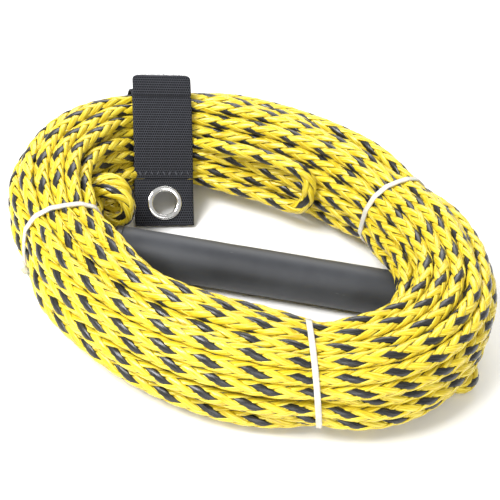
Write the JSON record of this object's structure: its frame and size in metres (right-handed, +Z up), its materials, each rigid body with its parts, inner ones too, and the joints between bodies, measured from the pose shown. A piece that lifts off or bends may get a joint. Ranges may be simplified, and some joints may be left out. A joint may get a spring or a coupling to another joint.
{
  "type": "tow rope handle",
  "caption": "Foam-covered tow handle on a rope bridle, with its braided tow line wound into a tied oval hank and a hook-and-loop keeper with a hanging grommet.",
  "frame": {"origin": "centre of the handle, on its axis", "axes": "+X along the handle, +Z up from the surface that the hank lies on, +Y towards the keeper strap"},
  "size_m": [0.2958, 0.2648, 0.0741],
  "materials": {
    "rope": "braided polyethylene yarn, glossy, with charcoal tracer strands",
    "grip_foam": "closed-cell foam, matt with a soft sheen",
    "tube_aluminium": "drawn tube",
    "float_foam": "closed-cell polyethylene foam",
    "cap_plastic": "moulded, fine grain",
    "webbing": "ribbed polypropylene webbing",
    "loop_tape": "brushed loop tape",
    "hook_tape": "moulded hook tape",
    "thread": "bonded thread",
    "nickel": "nickel-plated brass, rolled",
    "tie_nylon": "natural nylon, slightly see-through"
  },
  "bodies": {
    "hank": {"boat_end_eye": "rope", "bridle_leg_left": "rope", "bridle_leg_right": "rope", "bridle_rope_in_handle": "rope", "cable_tie_front": "tie_nylon", "cable_tie_left": "tie_nylon", "cable_tie_right": "tie_nylon", "keeper_front_run": "webbing", "keeper_hook_patch": "hook_tape", "keeper_loop_patch": "loop_tape", "keeper_stitches": "thread", "keeper_wrap": "webbing", "rope_bight_back": "rope", "rope_bight_left": "rope", "rope_hank": "rope"},
    "handle": {"foam_grip": "grip_foam", "handle_tube": "tube_aluminium", "float_core": "float_foam", "end_cap_left": "cap_plastic", "end_cap_right": "cap_plastic"},
    "tab": {"keeper_tab": "webbing", "grommet_eyelet": "nickel", "grommet_washer": "nickel"},
    "flap": {"keeper_closing_flap": "webbing"}
  },
  "joints": [
    {"name": "handle_spin", "type": "hinge", "parent": "hank", "child": "handle", "pos_m": [0, 0, 0], "axis": [1, 0, 0], "continuous": true},
    {"name": "tab_swing", "type": "hinge", "parent": "hank", "child": "tab", "pos_m": [-0.08264, 0.06537, 0.00797], "axis": [-0.9613, -0.2756, 0], "range_deg": [0, 100]},
    {"name": "flap_peel", "type": "hinge", "parent": "hank", "child": "flap", "pos_m": [-0.09315, 0.10201, 0.04884], "axis": [-0.9613, -0.2756, 0], "range_deg": [-90, 35]}
  ]
}
